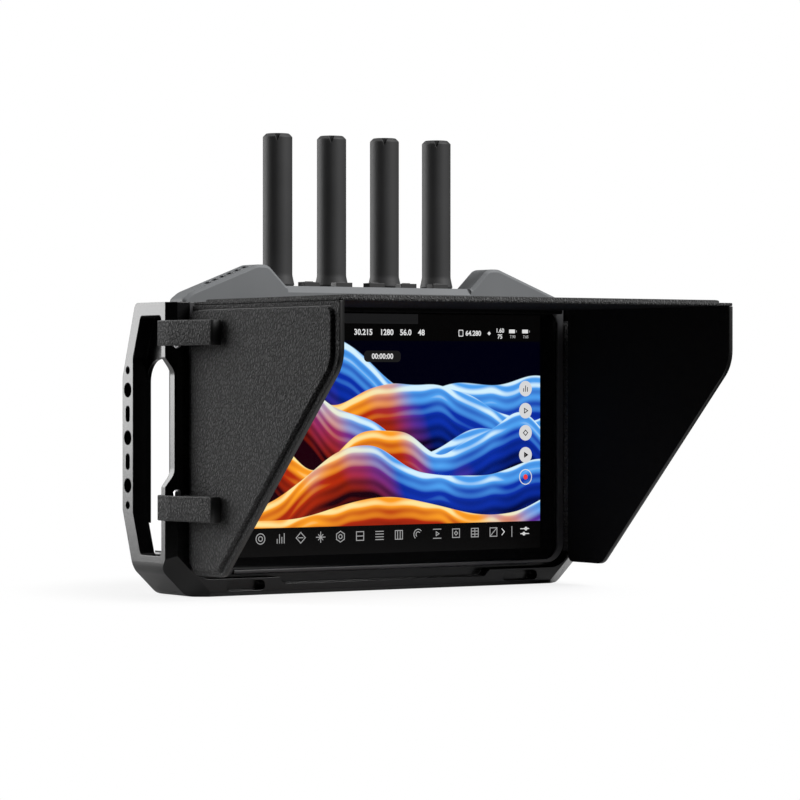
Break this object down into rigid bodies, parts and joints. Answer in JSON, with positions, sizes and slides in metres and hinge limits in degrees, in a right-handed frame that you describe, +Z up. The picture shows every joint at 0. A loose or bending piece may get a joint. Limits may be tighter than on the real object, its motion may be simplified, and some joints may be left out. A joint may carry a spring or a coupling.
{
  "type": "recording monitor",
  "caption": "Seven inch recording monitor in a metal cage with hand slots, a folding leather sun hood, rod antennas and a row of top buttons",
  "frame": {"origin": "mouth of the tripod thread, in the underside of the bottom rail", "axes": "+X right as the viewer sees the screen, +Y away from the viewer, +Z up"},
  "size_m": [0.1994, 0.1409, 0.179],
  "materials": {
    "cage_metal": "bead-blasted dark anodised",
    "crown_metal": "bead-blasted grey anodised",
    "body_metal": "black anodised",
    "screen_glass": "gloss black cover glass with a lit picture",
    "display": "liquid crystal panel",
    "sheet_metal": "bare sheet",
    "pin_steel": "bright steel pins",
    "screw_steel": "black oxide steel",
    "board_green": "solder mask",
    "sink_metal": "bare extrusion",
    "fan_plastic": "moulded black",
    "connector_brass": "gold plated",
    "antenna_rubber": "matt soft-touch black",
    "button_plastic": "moulded black",
    "plate_plastic": "moulded black",
    "catch_plastic": "moulded dark grey",
    "cover_rubber": "matt black",
    "hood_leather": "pebbled black artificial leather over board",
    "strap_leather": "pebbled black artificial leather"
  },
  "bodies": {
    "cage": {"side_plate_left": "cage_metal", "side_plate_right": "cage_metal", "bottom_rail": "cage_metal", "crown": "crown_metal", "rear_shell": "body_metal", "front_bezel": "body_metal", "cover_glass": "screen_glass", "display_panel": "display", "backlight_plate": "sheet_metal", "board_standoffs": "sheet_metal", "strap_pins": "pin_steel", "rail_screws": "screw_steel", "side_screws": "screw_steel", "crown_screws": "screw_steel", "board_screws": "screw_steel", "main_board": "board_green", "rf_board": "board_green", "button_board": "board_green", "heat_sink": "sink_metal", "fan_housing": "fan_plastic", "antenna_connectors": "connector_brass", "battery_contacts": "connector_brass", "battery_plate_left": "plate_plastic", "battery_plate_right": "plate_plastic", "port_cover": "cover_rubber", "hood_strip": "hood_leather", "strap_left_lower": "strap_leather", "strap_left_upper": "strap_leather", "strap_right_lower": "strap_leather", "strap_right_upper": "strap_leather"},
    "hood_top": {"hood_top_panel": "hood_leather"},
    "flap_left": {"hood_flap_left": "hood_leather"},
    "flap_right": {"hood_flap_right": "hood_leather"},
    "fan": {"fan_rotor": "fan_plastic"},
    "catch_left": {"battery_catch_left": "catch_plastic"},
    "catch_right": {"battery_catch_right": "catch_plastic"},
    "antenna_1_rod": {"antenna_1": "antenna_rubber"},
    "antenna_2_rod": {"antenna_2": "antenna_rubber"},
    "antenna_3_rod": {"antenna_3": "antenna_rubber"},
    "antenna_4_rod": {"antenna_4": "antenna_rubber"},
    "button_1_key": {"button_1": "button_plastic"},
    "button_2_key": {"button_2": "button_plastic"},
    "button_3_key": {"button_3": "button_plastic"},
    "button_4_key": {"button_4": "button_plastic"},
    "button_5_key": {"button_5": "button_plastic"}
  },
  "joints": [
    {"name": "hood_lift", "type": "hinge", "parent": "cage", "child": "hood_top", "pos_m": [0, -0.0138, 0.113], "axis": [-1, 0, 0], "range_deg": [0, 90]},
    {"name": "flap_left_fold", "type": "hinge", "parent": "cage", "child": "flap_left", "pos_m": [-0.08725, -0.0138, 0.06], "axis": [0, 0, 1], "range_deg": [0, 90]},
    {"name": "flap_right_fold", "type": "hinge", "parent": "cage", "child": "flap_right", "pos_m": [0.08725, -0.01755, 0.06], "axis": [0, 0, -1], "range_deg": [0, 90]},
    {"name": "fan_spin", "type": "hinge", "parent": "cage", "child": "fan", "pos_m": [0, 0.011, 0.052], "axis": [0, 1, 0], "continuous": true},
    {"name": "antenna_1_turn", "type": "hinge", "parent": "cage", "child": "antenna_1_rod", "pos_m": [-0.03765, 0.0085, 0.119], "axis": [0, 0, 1], "continuous": true},
    {"name": "antenna_2_turn", "type": "hinge", "parent": "cage", "child": "antenna_2_rod", "pos_m": [-0.01255, 0.0085, 0.119], "axis": [0, 0, 1], "continuous": true},
    {"name": "antenna_3_turn", "type": "hinge", "parent": "cage", "child": "antenna_3_rod", "pos_m": [0.01255, 0.0085, 0.119], "axis": [0, 0, 1], "continuous": true},
    {"name": "antenna_4_turn", "type": "hinge", "parent": "cage", "child": "antenna_4_rod", "pos_m": [0.03765, 0.0085, 0.119], "axis": [0, 0, 1], "continuous": true},
    {"name": "button_1_press", "type": "slide", "parent": "cage", "child": "button_1_key", "axis": [0, 0, -1], "range_m": [0, 0.0008], "stiffness_N_per_m": 900},
    {"name": "button_2_press", "type": "slide", "parent": "cage", "child": "button_2_key", "axis": [0, 0, -1], "range_m": [0, 0.0008], "stiffness_N_per_m": 900},
    {"name": "button_3_press", "type": "slide", "parent": "cage", "child": "button_3_key", "axis": [0, 0, -1], "range_m": [0, 0.0008], "stiffness_N_per_m": 900},
    {"name": "button_4_press", "type": "slide", "parent": "cage", "child": "button_4_key", "axis": [0, 0, -1], "range_m": [0, 0.0008], "stiffness_N_per_m": 900},
    {"name": "button_5_press", "type": "slide", "parent": "cage", "child": "button_5_key", "axis": [0, 0, -1], "range_m": [0, 0.0008], "stiffness_N_per_m": 900},
    {"name": "catch_left_press", "type": "slide", "parent": "cage", "child": "catch_left", "axis": [0, -1, 0], "range_m": [0, 0.0012], "stiffness_N_per_m": 900},
    {"name": "catch_right_press", "type": "slide", "parent": "cage", "child": "catch_right", "axis": [0, -1, 0], "range_m": [0, 0.0012], "stiffness_N_per_m": 900}
  ]
}
